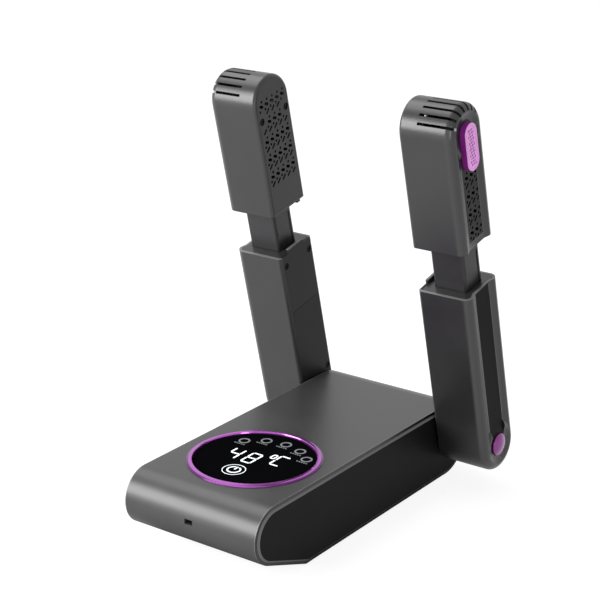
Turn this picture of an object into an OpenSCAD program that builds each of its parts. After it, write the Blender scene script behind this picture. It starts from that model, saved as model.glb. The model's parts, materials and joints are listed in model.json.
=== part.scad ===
// Folding shoe dryer: a low wedge-nosed base with a round touch display, and an arm on each
// side that folds down along the base and carries a telescopic blower head.
// X runs across the base, -Y is the nose, +Z is up. The origin is on the standing surface,
// under the middle of the base.

/* [Base] */
// Width of the base across both side caps
base_w = 111.6; // [104:0.1:140]
// Length of the base from the nose to the rounded rear end
base_l = 255; // [240:1:300]
// Height of the base body above its feet
base_h = 55.4; // [52:0.2:64]
// Radius of the rounded nose
nose_r = 20.3; // [16:0.1:24]
// Slope of the underside behind the nose, in degrees
under_angle = 21.3; // [16:0.1:30]
// Thickness of the base skin
skin_t = 2.4; // [1.8:0.1:3.2]
// Thickness of each side cap inside the skin
cap_t = 4; // [3.4:0.1:6]
// Height of each side cap's bevelled face above the edge of the skin
cap_rise = 1.4; // [0.6:0.1:2]
// How far each side cap's raised face reaches over the edge of the skin
cap_cover = 0.2; // [0.1:0.1:1.2]
// Height of the rubber feet below the base
foot_h = 1.5; // [1:0.1:4]
// Radius of the rubber feet
foot_r = 7; // [4:0.5:9]

/* [Display] */
// Distance from the front of the nose to the middle of the display
display_from_nose = 70.4; // [66:0.1:90]
// Outer radius of the display ring
ring_r = 46.3; // [42:0.1:47]
// Width of the display ring
ring_w = 4.6; // [4:0.1:7]
// Height of the display ring above the top skin
ring_h = 1.5; // [0.8:0.1:2.4]
// Thickness of the display glass
glass_t = 2; // [1.2:0.1:2.6]
// Height of the temperature digits
digit_h = 16.5; // [10:0.1:18]
// Width of the strokes of the digits
stroke_w = 1.3; // [0.9:0.1:2.4]
// Outer radius of the small function icons
icon_r = 4.1; // [2.5:0.1:4.5]
// Outer radius of the power symbol
power_r = 8.1; // [5:0.1:9]

/* [Cord outlet] */
// Width of the cord outlet in the nose
outlet_w = 6.4; // [5:0.1:10]
// Height of the cord outlet in the nose
outlet_h = 3.6; // [3:0.1:7]
// Height of the cord outlet above the middle of the nose
outlet_up = 1.3; // [0:0.1:4]

/* [Arms] */
// Gap between the base and each arm
arm_gap = 2.8; // [2:0.1:6]
// Thickness of an arm from its inner face to its outer rim
arm_t = 40.7; // [38:0.1:48]
// Depth of an arm from front to back
arm_d = 39; // [37:0.1:46]
// Height of the hinge axis above the underside of the base
pivot_h = 34.9; // [30:0.1:36]
// Forward lean of the arms at rest, in degrees
lean = 13.4; // [0:0.1:30]
// Distance from the hinge axis to the top of the lower casing
casing_top = 129.6; // [120:0.2:150]
// Length of tube that shows between the casing and the head
tube_show = 33.6; // [20:0.2:36]
// Length of the head from its foot to the middle of its round top
head_straight = 82.5; // [80:0.5:110]
// Height of the seam across the casing's inner face above the hinge axis
seam_up = 82.7; // [60:0.1:100]
// Thickness of the arm walls
wall = 1.8; // [1.4:0.1:2.4]
// Radius of the two outer edges of an arm
outer_edge_r = 5.6; // [4:0.1:6.5]
// Radius of the two inner edges of an arm
inner_edge_r = 2.6; // [2.2:0.1:3.2]
// Depth of the outer panel below the outer rim
panel_depth = 1.7; // [0.8:0.1:2.2]
// Width of the sloping side of the panel recess
panel_slope = 4.4; // [2:0.1:5]

/* [Telescopic tube] */
// Width of the tube
tube_w = 26; // [20:0.5:27]
// Room inside an arm in front of the tube, and the same behind it
tube_room = 9.3; // [9.2:0.1:12]
// Sideways place of the tube's middle, outwards from the arm's inner face
tube_x = 20.5; // [19:0.1:21.5]
// Corner radius of the tube
tube_corner = 2; // [1:0.1:3]
// Wall of the tube
tube_wall = 1.6; // [1.2:0.1:2.2]
// Travel left before the tube's stop meets the casing collar
slide_up = 6; // [2:0.5:30]
// Sliding clearance round the tube
slide_gap = 0.25; // [0.15:0.05:0.5]

/* [Grilles and slots] */
// Distance between grille columns
grille_pitch = 6.05; // [5.6:0.05:6.4]
// Distance over which the grille pattern repeats
grille_period = 13.45; // [12.5:0.05:15]
// Length of the bold grille dashes
bold_l = 4.3; // [2.8:0.1:4.4]
// Width of the bold grille dashes
bold_w = 2.1; // [1.2:0.1:2.2]
// Radius of the small grille holes
small_hole_r = 0.95; // [0.5:0.05:1]
// Length of the slanting grille dashes
dash_l = 4.9; // [3:0.1:5.2]
// Width of the slanting grille dashes
dash_w = 1.55; // [0.7:0.05:1.6]
// Width of the vent slots over the top of the head
slot_w = 1.9; // [1.2:0.1:2.6]
// Angle between neighbouring vent slots, in degrees
slot_step = 18.2; // [14:0.1:19]
// Distance from the arm's inner face to where the vent slots start
slot_start = 13.9; // [10:0.1:20]

/* [Scent outlet] */
// Width of the raised oval outlet
oval_w = 14.2; // [12:0.1:16]
// Length of the raised oval outlet
oval_l = 33.4; // [26:0.1:36]
// Height of the oval's face above the outer panel
oval_h = 4.7; // [2:0.1:6]
// Distance from the head's foot to the middle of the oval
oval_up = 72.6; // [68:0.1:78]
// Width of the oval's plain border
oval_border = 2.2; // [1.6:0.1:3]

/* [Hinges] */
// Radius of the hollow hinge shaft
shaft_r = 7; // [6:0.1:8]
// Radius of the wire way through the hinge shaft
wireway_r = 4.2; // [3:0.1:5]
// Radial running clearance of the hinge shaft
shaft_gap = 0.05; // [0.02:0.01:0.1]
// Radius of the domed hinge cap on the outside of an arm
dome_r = 8.2; // [6:0.1:8.8]
// Height of the hinge cap above the outer panel
dome_h = 3.3; // [2:0.1:5]

/* [Fan] */
// Side of the square fan frame
fan_side = 30; // [26:0.5:31]
// Thickness of the fan frame
fan_t = 10; // [8:0.5:11]
// Radius of the impeller across its blade tips
impeller_r = 13.3; // [11:0.1:13.4]
// Radius of the impeller hub
hub_r = 6.5; // [5:0.1:8]
// Number of impeller blades
blades = 7; // [5:1:9]

/* [Hidden] */
$fn = 72;
eps = 0.01;
// Clearance between pieces that are screwed or clipped together
fit_gap = 0.15;
// Clearance between two faces that slide on each other
face_gap = 0.05;

// Base outline, in Y and Z
nose_y = -base_l / 2 + nose_r;
nose_z = foot_h + base_h - nose_r;
rear_r = base_h / 2;
rear_y = base_l / 2 - rear_r;
rear_z = foot_h + rear_r;
top_z = foot_h + base_h;
half_skin = base_w / 2 - cap_rise;
cap_in = half_skin - cap_t;
under_normal = [-sin(under_angle), -cos(under_angle)];

// Bottom cover
cover_t = 2.4;
cover_margin = 7;
cover_front = nose_y - nose_r * sin(under_angle)
    + (nose_z - nose_r * cos(under_angle) - foot_h) / tan(under_angle) + cover_margin;
cover_rear = rear_y - 3;
boss_r = 3.6;
screw_r = 1.25;
screw_head_r = 2.45;
screw_head_h = 1.1;
boss_x = cap_in - 7.5;
boss_front = -2;
boss_back = 32;
boss_y = [boss_front, rear_y - boss_back];
boss_depth = 12;
foot_x = base_w / 2 - 16;
foot_y = [cover_front + 12, rear_y - 14];
foot_sunk = 1;

// Display
display_y = -base_l / 2 + display_from_nose;
glass_r = ring_r - ring_w;
ring_seat = 2;
ring_skirt_r = glass_r + 3.4;
ring_skirt = 5;
ring_slope = 0.7;
ring_crest = 1.6;
ring_edge = 0.3;
ring_shelf = 2.4;
mark_t = 0.15;
segment_gap = 0.25;
four_at = [-16.2, -0.5];
eight_at = [-2.1, -0.5];
letter_at = [16.4, 6.5];
letter_share = 0.96;
degree_at = [8.9, 9.8];
degree_w = 4.2;
degree_h = 6.8;
degree_stroke = 1.1;
icon_at = [[-24, 19.4], [-11.4, 28.1], [3.5, 30.6], [18, 27.2], [29.2, 19.1]];
icon_stroke = 1.2;
label_down = 5.5;
label_dashes = 5;
label_step = 1.9;
label_w = 1.2;
label_h = 0.9;
power_at = [-0.5, -21.9];
power_line = 0.45;
power_inner_r = 5;
power_stroke = 1.1;
power_gap = 3;
power_bar = [0.5, 4.8];

// Boards
board_t = 1.6;
led_w = 52;
led_d = 24;
led_h = ring_skirt - ring_seat - 0.3;
board_w = 72;
board_d = 60;
board_y = -7;
board_up = 6;
board_post_r = 3;
board_post = [30, 23];
chip = [16, 16, 1.8];
relay = [8, 8, 7];
relay_x = [-28, 22];
relay_y = 18;
can_r = 4;
can_h = 10;
can_at = [20, -18];
psu_w = 50;
psu_d = 44;
psu_back = 40.8;
psu_y = cover_rear - psu_back;
coil = [20, 22, 18];
coil_at = [-16, -14];
terminal = [18, 6, 8];
terminal_at = [-22, 12];
big_can_r = 5;
big_can_h = 20;
big_can_at = [12, -10];
small_can_h = 14;
small_can_at = [12, 8];

// Cord outlet
grommet_l = 9;
grommet_sunk = 0.8;
grommet_lip = 2;
grommet_flange_t = 3;
grommet_wall = 0.9;

// Hinges
pivot_y = rear_y;
pivot_z = foot_h + pivot_h;
arm_x = base_w / 2 + arm_gap;
block_l = 20;
block_r = 12;
washer_t = 1.5;
nut_t = 5;
block_foot = 4;
block_x = arm_x - cap_in;
cap_hole_gap = 0.4;
flange_r = 13;
flange_t = 3;
shaft_in = block_l + block_x + washer_t + nut_t;

// Arms, in their own frame: X outwards from the inner face, Z along the arm from the hinge
arm_r = arm_d / 2;
tube_d = arm_d - 2 * tube_room;
crest_r = arm_r - outer_edge_r;
floor_r = crest_r - panel_slope;
floor_x = arm_t - panel_depth;
plate_t = 2;
plate_r = arm_r - inner_edge_r;
head_foot = casing_top + tube_show;
head_mid = head_foot + head_straight;
tab_w = 18;
tab_h = 3;
collar_t = 3;
collar_l = 16;
guide_wall = 1;
panel_flange_t = 1.2;
panel_lip = 1;
panel_end = 8;
head_panel_end = 5;
cap_pin_r = 3;
dome_edge = 1.2;
post_r = 2.2;
post_l = 11;
post_gap = 0.25;
screw_y = tube_d / 2 + slide_gap + guide_wall + post_r + post_gap;
cover_head_h = 0.9;
screw_sunk = 0.6;
screw_hex = 0.75;
foot_tab = [5, 3.6, 2.4];
foot_tab_at = [1, 10.8];
casing_screw_s = [20, casing_top - 8.2];
head_screw_s = [head_mid - 9.5];
stop_t = 3;
stop_w = 1.2;
tube_foot = casing_top - collar_l - face_gap - slide_up - stop_t;
tube_head = 16;
tube_flange_t = 2.2;
tube_flange_w = 2.8;
tube_groove_w = 2.2;
tube_groove_d = 0.6;

// Grilles
bold_angle = 116;
dash_angle = 50;
dash_place = [0, -5.5];
small_places = [[0.9, 3.4], [-2.1, -3.1]];
screw_keep = 6.4;
inner_rows = 5;
inner_cols = 5;
inner_top = head_mid + 1.1;
outer_rows = 4;
outer_cols = 3;
outer_top = head_foot + 51.2;
outer_shift = 1.9;
slots = 7;
slot_first = -59;
slot_inner_r = crest_r + 0.6;

// Oval outlet
oval_s = head_foot + oval_up;
oval_lip = 1;
oval_step = 0.5;
mesh_t = 1;
mesh_rows = 12;
mesh_cols = 4;
mesh_pitch_s = 2.2;
mesh_pitch_y = 2.15;
mesh_rim = 1.1;
mesh_r = oval_w / 2 - oval_border - face_gap;
mesh_straight = oval_l / 2 - oval_w / 2;
mesh_sunk = 0.5;
mesh_tilt = 40;
mesh_hole_w = 0.8;
mesh_hole_l = 1.8;

// Fan and heater
fan_x = floor_x - wall - panel_flange_t - fan_t;
fan_s = head_mid - 10;
fan_bore = impeller_r + 0.6;
fan_web = 1.2;
fan_pin_r = 1;
blade_t = 1;
blade_turn = 42;
blade_w = fan_t - 3;
impeller_t = fan_t - 2.4;
impeller_lift = 0.5;
hub_end_t = 1;
heater_w = 12;
heater_d = arm_d - 2 * wall;
heater_h = 30;
heater_x = 15;
heater_s = head_foot + tube_head + 3 + heater_h / 2;
heater_frame = 2;
heater_fins = 9;
fin_t = 0.8;

// ---- shared forms ----

// Extrudes a Y-Z outline along X, from x0 to x1
module along_x(x0, x1) {
    translate([x0, 0, 0]) rotate([90, 0, 90]) linear_extrude(x1 - x0) children();
}

// A cylinder along X, from x0 to x1
module x_cylinder(r, x0, x1) {
    translate([x0, 0, 0]) rotate([0, 90, 0]) cylinder(r = r, h = x1 - x0);
}

// Base outline drawn in by some distance all round
module base_outline(inset = 0) {
    r = nose_r - inset;
    tangent = [nose_y, nose_z] + r * under_normal;
    low = foot_h + inset;
    toe = [tangent[0] + (tangent[1] - low) / tan(under_angle), low];
    translate([nose_y, nose_z]) circle(r);
    translate([rear_y, rear_z]) circle(rear_r - inset);
    polygon([
        [nose_y, top_z - inset], [rear_y, top_z - inset], [rear_y, low], toe,
        tangent, [nose_y, nose_z],
    ]);
}

// Rectangle with round corners, centred
module round_rect(w, d, r) {
    square([w - 2 * r, d], center = true);
    square([w, d - 2 * r], center = true);
    for (x = [-1, 1], y = [-1, 1])
        translate([x * (w / 2 - r), y * (d / 2 - r)]) circle(r);
}

// Half of an arm's section, drawn as distance from the middle plane against distance outwards
module half_section(inset, from) {
    difference() {
        union() {
            translate([from, inset]) square([arm_r - inner_edge_r - from, arm_t - 2 * inset - 1]);
            translate([from, inner_edge_r])
                square([arm_r - inset - from, arm_t - inner_edge_r - outer_edge_r]);
            translate([from, inset]) square([crest_r - from, arm_t - 2 * inset]);
            translate([arm_r - inner_edge_r, inner_edge_r]) circle(inner_edge_r - inset);
            translate([crest_r, arm_t - outer_edge_r]) circle(outer_edge_r - inset);
        }
        translate([crest_r, arm_t - outer_edge_r])
            difference() {
                square(2 * outer_edge_r);
                circle(outer_edge_r - inset);
            }
        polygon([
            [from - 1, floor_x - inset], [floor_r, floor_x - inset], [crest_r, arm_t - inset],
            [crest_r, arm_t + 1], [from - 1, arm_t + 1],
        ]);
    }
}

// Whole section of an arm, X outwards and Y from front to back
module arm_section(inset = 0) {
    for (side = [0, 1])
        mirror([0, side, 0]) mirror([1, 0, 0]) rotate(90) half_section(inset, -1);
}

// Round end of an arm, turned about an axis along X
module arm_end(inset = 0) {
    rotate([0, 90, 0]) rotate_extrude() half_section(inset, 0);
}

// Flat stadium outline in Y and Z: round at one end, square at the other
module tongue(r, from, to, round_at) {
    translate([0, round_at]) circle(r);
    translate([-r, from]) square([2 * r, to - from]);
}

// Outline of the tube, grown by a clearance
module tube_outline(grow = 0) {
    translate([tube_x, 0])
        round_rect(tube_w + 2 * grow, tube_d + 2 * grow, tube_corner + grow);
}

// Puts what is drawn in the arm frame on the left (-1) or right (1) arm
module arm(side) {
    translate([0, pivot_y, pivot_z]) rotate([lean, 0, 0])
        mirror([side < 0 ? 1 : 0, 0, 0]) translate([arm_x, 0, 0]) children();
}

// Mirrors what is drawn for the right side onto the left
module side(side) {
    mirror([side < 0 ? 1 : 0, 0, 0]) children();
}

// A round-ended hole along X, centred; turned by an angle from upright towards the back
module slot_hole(w, l, angle, x0, x1) {
    rotate([-angle, 0, 0]) oval(w, l, x0, x1);
}

// True when a place on a grille is far enough from every taken place
function is_free(at, taken) = len([for (p = taken) if (norm(at - p) < screw_keep) p]) == 0;

// Hole pattern of the grilles, cut along X: bold dashes, small holes and long slanting dashes
module grille_holes(cols, rows, top, shift, taken, x0, x1) {
    for (row = [0 : rows - 1], col = [0 : cols - 1]) {
        at = [shift + (col - (cols - 1) / 2) * grille_pitch, top - row * grille_period];
        if (is_free(at, taken))
            translate([0, at[0], at[1]]) slot_hole(bold_w, bold_l, bold_angle, x0, x1);
        for (place = small_places)
            if (is_free(at + place, taken))
                translate([0, at[0] + place[0], at[1] + place[1]]) x_cylinder(small_hole_r, x0, x1);
        if (is_free(at + dash_place, taken))
            translate([0, at[0] + dash_place[0], at[1] + dash_place[1]])
                slot_hole(dash_w, dash_l, dash_angle, x0, x1);
    }
}

// Small posts on the side walls that take the cover screws
module screw_posts(places) {
    for (s = places, y = [-1, 1])
        difference() {
            union() {
                translate([0, y * screw_y, s]) x_cylinder(post_r, plate_t, plate_t + post_l);
                translate([plate_t, y > 0 ? screw_y : -arm_r + wall - eps, s - post_r])
                    cube([post_l, arm_r - wall - screw_y + eps, 2 * post_r]);
            }
            translate([0, y * screw_y, s]) x_cylinder(screw_r, 0, plate_t + post_l - 1);
        }
}

// Countersunk holes for the cover screws
module screw_holes(places) {
    for (s = places, y = [-1, 1])
        translate([0, y * screw_y, s]) {
            x_cylinder(screw_r + fit_gap, -1, plate_t + 1);
            x_cylinder(screw_head_r + fit_gap, -1, screw_sunk + cover_head_h);
        }
}

// Cover screws, with their heads sunk below the face
module cover_screws(places) {
    for (s = places, y = [-1, 1])
        translate([0, y * screw_y, s])
            difference() {
                union() {
                    x_cylinder(screw_head_r, screw_sunk, screw_sunk + cover_head_h);
                    x_cylinder(screw_r, screw_sunk, plate_t + post_l - 2);
                }
                x_cylinder(screw_hex, 0, screw_sunk + cover_head_h / 2);
            }
}

// ---- base ----

module base_shell() {
    color([0.43, 0.43, 0.44])
    difference() {
        union() {
            difference() {
                along_x(-half_skin, half_skin) base_outline();
                along_x(-half_skin - 1, half_skin + 1) base_outline(skin_t);
            }
            for (x = [-1, 1], y = boss_y)
                translate([x * boss_x, y, foot_h + cover_t])
                    cylinder(r = boss_r, h = base_h - cover_t - skin_t + eps);
        }
        translate([-half_skin - 1, cover_front - fit_gap, 0])
            cube([2 * half_skin + 2, cover_rear - cover_front + 2 * fit_gap, foot_h + skin_t + eps]);
        translate([0, display_y, top_z - skin_t - 1])
            cylinder(r = ring_skirt_r + fit_gap, h = skin_t + 2);
        for (x = [-1, 1], y = boss_y)
            translate([x * boss_x, y, 0]) cylinder(r = screw_r, h = foot_h + cover_t + boss_depth);
        translate([-outlet_w / 2, -base_l / 2 - 1, nose_z + outlet_up - outlet_h / 2])
            cube([outlet_w, skin_t + 8, outlet_h]);
    }
}

module bottom_cover() {
    color([0.16, 0.16, 0.17])
    difference() {
        union() {
            translate([-half_skin + fit_gap, cover_front, foot_h])
                cube([2 * (half_skin - fit_gap), cover_rear - cover_front, cover_t]);
            for (x = [-1, 1], y = [-1, 1])
                translate([x * board_post[0], board_y + y * board_post[1], foot_h])
                    cylinder(r = board_post_r, h = cover_t + board_up);
        }
        for (x = [-1, 1], y = foot_y)
            translate([x * foot_x, y, foot_h - 1]) cylinder(r = foot_r + fit_gap, h = 1 + foot_sunk);
        for (x = [-1, 1], y = boss_y)
            translate([x * boss_x, y, foot_h - 1]) {
                cylinder(r = screw_r + fit_gap, h = cover_t + 2);
                cylinder(r = screw_head_r + fit_gap, h = 1 + screw_head_h + fit_gap);
            }
    }
}

// End cap of the base: a plug inside the skin, and a bevelled face outside it
module side_cap() {
    face_in = skin_t - cap_cover;
    color([0.15, 0.15, 0.16])
    difference() {
        union() {
            hull() {
                along_x(half_skin, half_skin + eps) base_outline(face_in, $fn = 64);
                along_x(half_skin, base_w / 2) base_outline(face_in + cap_rise, $fn = 64);
            }
            along_x(cap_in, half_skin + face_gap) base_outline(skin_t + fit_gap);
        }
        translate([0, pivot_y, pivot_z]) x_cylinder(shaft_r + cap_hole_gap, cap_in - 1, base_w / 2 + 1);
    }
}

module rubber_feet() {
    color([0.06, 0.06, 0.06])
    for (x = [-1, 1], y = foot_y)
        translate([x * foot_x, y, 0]) cylinder(r = foot_r, h = foot_h + foot_sunk);
}

module base_screws() {
    color([0.5, 0.5, 0.52])
    for (x = [-1, 1], y = boss_y)
        translate([x * boss_x, y, foot_h + fit_gap])
            difference() {
                union() {
                    cylinder(r = screw_head_r, h = screw_head_h);
                    cylinder(r = screw_r, h = cover_t + boss_depth - 2);
                }
                translate([0, 0, -1]) cylinder(r = screw_hex, h = 1 + screw_head_h / 2);
            }
}

module display_ring() {
    color([0.62, 0.25, 0.68])
    translate([0, display_y, top_z])
        rotate_extrude(convexity = 4)
            polygon([
                [glass_r + fit_gap, -ring_seat], [glass_r + fit_gap, ring_edge],
                [glass_r + ring_slope, ring_h], [glass_r + ring_slope + ring_crest, ring_h],
                [ring_r, ring_edge], [ring_r, 0], [ring_skirt_r, 0], [ring_skirt_r, -ring_skirt],
                [glass_r + ring_crest, -ring_skirt], [glass_r + ring_crest, -ring_seat - 1],
                [glass_r - ring_shelf, -ring_seat - 1], [glass_r - ring_shelf, -ring_seat],
            ]);
}

module display_glass() {
    color([0.03, 0.03, 0.035])
    translate([0, display_y, top_z - ring_seat]) cylinder(r = glass_r, h = glass_t);
}

// Puts a flat mark on top of the glass, at a place measured from the middle of the display
module mark(at) {
    translate([at[0], display_y + at[1], top_z - ring_seat + glass_t])
        linear_extrude(mark_t) children();
}

// One stroke of a seven-segment digit, pointed at both ends
module stroke(l) {
    h = stroke_w / 2;
    polygon([[-l / 2, 0], [-l / 2 + h, h], [l / 2 - h, h], [l / 2, 0], [l / 2 - h, -h], [-l / 2 + h, -h]]);
}

// A seven-segment digit; on lists the strokes that are lit, clockwise from the top, middle last
module digit(on, h = digit_h) {
    w = h * 0.5 - stroke_w / 2;
    v = (h - stroke_w) / 2;
    l = v - segment_gap;
    places = [
        [0, v, 0, w], [w / 2, v / 2, 90, l], [w / 2, -v / 2, 90, l], [0, -v, 0, w],
        [-w / 2, -v / 2, 90, l], [-w / 2, v / 2, 90, l], [0, 0, 0, w],
    ];
    for (i = [0 : 6])
        if (on[i] == 1)
            translate([places[i][0], places[i][1]]) rotate(places[i][2])
                stroke(places[i][3] - segment_gap);
}

module temperature_digits() {
    color("white") {
        mark(four_at) digit([0, 1, 1, 0, 0, 1, 1]);
        mark(eight_at) digit([1, 1, 1, 1, 1, 1, 1]);
        mark(degree_at)
            difference() {
                round_rect(degree_w, degree_h, degree_w / 2 - 0.1);
                round_rect(degree_w - 2 * degree_stroke, degree_h - 2 * degree_stroke,
                    degree_w / 2 - degree_stroke - 0.1);
            }
        mark(letter_at) digit([1, 0, 0, 1, 1, 1, 0], digit_h * letter_share);
    }
}

// Rings of the function icons, each with a row of short dashes below
module function_icons() {
    color("white")
    for (at = icon_at) {
        mark(at)
            difference() {
                circle(icon_r);
                circle(icon_r - icon_stroke);
            }
        for (i = [0 : label_dashes - 1])
            mark(at + [(i - (label_dashes - 1) / 2) * label_step, -label_down])
                square([label_w, label_h], center = true);
    }
}

// Power symbol in a thin circle
module power_symbol() {
    color("white")
    mark(power_at) {
        difference() {
            circle(power_r);
            circle(power_r - power_line);
        }
        difference() {
            circle(power_inner_r);
            circle(power_inner_r - power_stroke);
            translate([-power_gap / 2, 0]) square([power_gap, power_inner_r + 1]);
        }
        translate([-power_stroke / 2, power_bar[0]])
            square([power_stroke, power_bar[1] - power_bar[0]]);
    }
}

// Display board, hung under the skirt of the ring
module display_board() {
    color([0.05, 0.3, 0.16])
    translate([0, display_y, top_z - ring_skirt]) {
        translate([0, 0, -board_t]) cylinder(r = ring_skirt_r, h = board_t);
        translate([-led_w / 2, -led_d / 3, 0]) cube([led_w, led_d, led_h]);
        translate([0, -led_d + 2, 0]) cylinder(r = power_r, h = led_h);
    }
}

module main_board() {
    color([0.05, 0.3, 0.16])
    translate([0, board_y, foot_h + cover_t + board_up]) {
        translate([-board_w / 2, -board_d / 2, 0]) cube([board_w, board_d, board_t]);
        translate([-chip[0] / 2, -chip[1] / 2, board_t]) cube(chip);
        for (x = relay_x) translate([x, relay_y, board_t]) cube(relay);
        translate([can_at[0], can_at[1], board_t]) cylinder(r = can_r, h = can_h);
    }
}

module power_supply() {
    color([0.55, 0.5, 0.2])
    translate([0, psu_y, foot_h + cover_t]) {
        translate([-psu_w / 2, -psu_d / 2, 0]) cube([psu_w, psu_d, board_t]);
        translate([coil_at[0], coil_at[1], board_t]) cube(coil);
        translate([big_can_at[0], big_can_at[1], board_t]) cylinder(r = big_can_r, h = big_can_h);
        translate([small_can_at[0], small_can_at[1], board_t]) cylinder(r = can_r, h = small_can_h);
        translate([terminal_at[0], terminal_at[1], board_t]) cube(terminal);
    }
}

// Bush of the cord outlet, with a flange behind the nose skin
module cord_grommet() {
    reach = outlet_up + outlet_h / 2 + grommet_lip;
    flange_y = nose_y - sqrt((nose_r - skin_t) ^ 2 - reach ^ 2) + face_gap;
    front_y = -base_l / 2 + grommet_sunk;
    color([0.04, 0.04, 0.04])
    translate([0, 0, nose_z + outlet_up])
        difference() {
            union() {
                translate([-outlet_w / 2 + fit_gap, front_y, -outlet_h / 2 + fit_gap])
                    cube([outlet_w - 2 * fit_gap, grommet_l, outlet_h - 2 * fit_gap]);
                translate([-outlet_w / 2 - grommet_lip, flange_y, -outlet_h / 2 - grommet_lip])
                    cube([outlet_w + 2 * grommet_lip, grommet_flange_t, outlet_h + 2 * grommet_lip]);
            }
            translate([-outlet_w / 2 + grommet_wall, front_y - 1, -outlet_h / 2 + grommet_wall])
                cube([outlet_w - 2 * grommet_wall, grommet_l + 2, outlet_h - 2 * grommet_wall]);
        }
}

// ---- hinges ----

// Bearing block behind the side cap
module hinge_block() {
    color([0.3, 0.3, 0.32])
    translate([0, pivot_y, pivot_z])
        difference() {
            union() {
                x_cylinder(block_r, cap_in - block_l, cap_in);
                translate([cap_in - block_l, -block_r, skin_t + block_foot - pivot_h])
                    cube([block_l, 2 * block_r, pivot_h - skin_t - block_foot]);
            }
            x_cylinder(shaft_r + shaft_gap, cap_in - block_l - 1, cap_in + 1);
        }
}

// Hollow shaft fixed in the arm; the wires pass through it
module hinge_shaft() {
    color([0.7, 0.7, 0.72])
    difference() {
        union() {
            x_cylinder(shaft_r, -shaft_in, plate_t + flange_t);
            x_cylinder(flange_r, plate_t, plate_t + flange_t);
        }
        x_cylinder(wireway_r, -shaft_in - 1, plate_t + flange_t + 1);
    }
}

// Ring on the shaft between two distances from the arm's inner face
module shaft_ring(r, x0, x1) {
    difference() {
        x_cylinder(r, x0, x1);
        x_cylinder(shaft_r, x0 - 1, x1 + 1);
    }
}

module gap_washer() {
    color([0.1, 0.1, 0.1]) shaft_ring(block_r, -arm_gap + face_gap, 0);
}

module friction_washer() {
    x = -block_x - block_l - face_gap;
    color([0.75, 0.7, 0.5]) shaft_ring(block_r - 1, x - washer_t + face_gap, x);
}

module shaft_nut() {
    color([0.75, 0.75, 0.77])
    difference() {
        translate([-shaft_in, 0, 0]) rotate([0, 90, 0]) cylinder(r = block_r - 1, h = nut_t, $fn = 6);
        x_cylinder(shaft_r, -shaft_in - 1, -shaft_in + nut_t + 1);
    }
}

// ---- lower arm ----

module casing_shell() {
    color([0.33, 0.33, 0.34])
    difference() {
        union() {
            difference() {
                union() {
                    arm_end();
                    linear_extrude(casing_top) arm_section();
                }
                arm_end(wall);
                linear_extrude(casing_top + 1) arm_section(wall);
            }
            screw_posts(casing_screw_s);
        }
        along_x(-1, plate_t + eps) tongue(plate_r + fit_gap, 0, casing_top + 1, 0);
        along_x(floor_x - wall - 1, arm_t + 1) tongue(floor_r - panel_lip, 0, casing_top - panel_end, 0);
    }
}

// Recessed outer panel, with a flange behind the casing wall
module casing_panel() {
    color([0.16, 0.16, 0.17])
    difference() {
        union() {
            along_x(floor_x - wall, floor_x) 
                tongue(floor_r - panel_lip - fit_gap, 0, casing_top - panel_end - fit_gap, 0);
            along_x(floor_x - wall - panel_flange_t, floor_x - wall)
                tongue(floor_r, 0, casing_top - panel_end + panel_lip, 0);
        }
        x_cylinder(cap_pin_r, floor_x - wall - panel_flange_t - 1, floor_x + 1);
    }
}

// Domed cap over the end of the hinge, with a pin in the panel
module hinge_cap() {
    rise = dome_h - dome_edge;
    ball_r = (dome_r ^ 2 + rise ^ 2) / (2 * rise);
    color([0.6, 0.2, 0.68]) {
        x_cylinder(cap_pin_r - fit_gap, floor_x - wall - panel_flange_t, floor_x + eps);
        translate([floor_x, 0, 0]) rotate([0, 90, 0])
            rotate_extrude()
                intersection() {
                    translate([0, dome_h - ball_r]) circle(ball_r);
                    square([dome_r, dome_h]);
                }
    }
}

// Lower cover of the casing's inner face, with the hole for the hinge shaft
module hinge_cover() {
    color([0.2, 0.2, 0.21])
    difference() {
        along_x(0, plate_t) tongue(plate_r, 0, seam_up - fit_gap, 0);
        x_cylinder(shaft_r, -1, plate_t + 1);
        screw_holes([casing_screw_s[0]]);
    }
}

// Upper cover of the casing's inner face, with a tab that guides the tube
module inner_cover() {
    color([0.2, 0.2, 0.21])
    difference() {
        union() {
            along_x(0, plate_t) translate([-plate_r, seam_up]) square([2 * plate_r, casing_top - seam_up]);
            along_x(0, plate_t) translate([-tab_w / 2, casing_top - eps]) square([tab_w, tab_h + eps]);
        }
        screw_holes([casing_screw_s[1]]);
    }
}

// Top plate of the casing with a guide for the tube
module casing_collar() {
    color([0.4, 0.4, 0.41])
    difference() {
        union() {
            translate([0, 0, casing_top - collar_t])
                linear_extrude(collar_t)
                    intersection() {
                        arm_section(wall + fit_gap);
                        translate([plate_t + fit_gap, -arm_r]) square([arm_t, arm_d]);
                    }
            translate([0, 0, casing_top - collar_l])
                linear_extrude(collar_l) tube_outline(slide_gap + guide_wall);
        }
        translate([0, 0, casing_top - collar_l - 1])
            linear_extrude(collar_l + 2) tube_outline(slide_gap);
    }
}

module casing_screws() {
    color([0.08, 0.08, 0.08]) cover_screws(casing_screw_s);
}

// ---- telescopic head ----

// Square tube fixed in the head, with a flange in the head's foot and a stop inside the casing
module slide_tube() {
    color([0.24, 0.23, 0.25])
    difference() {
        union() {
            translate([0, 0, tube_foot])
                linear_extrude(head_foot + tube_head - tube_foot) tube_outline();
            translate([0, 0, head_foot + wall]) linear_extrude(tube_flange_t) tube_outline(tube_flange_w);
            translate([0, 0, tube_foot]) linear_extrude(stop_t) tube_outline(stop_w);
        }
        translate([0, 0, tube_foot - 1])
            linear_extrude(head_foot + tube_head - tube_foot + 2) tube_outline(-tube_wall);
        for (x = [-1, 1])
            translate([tube_x + x * tube_w / 2 - tube_groove_d, tube_d / 4, tube_foot + stop_t])
                cube([2 * tube_groove_d, tube_groove_w, head_foot - tube_foot - stop_t - 8]);
    }
}

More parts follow.
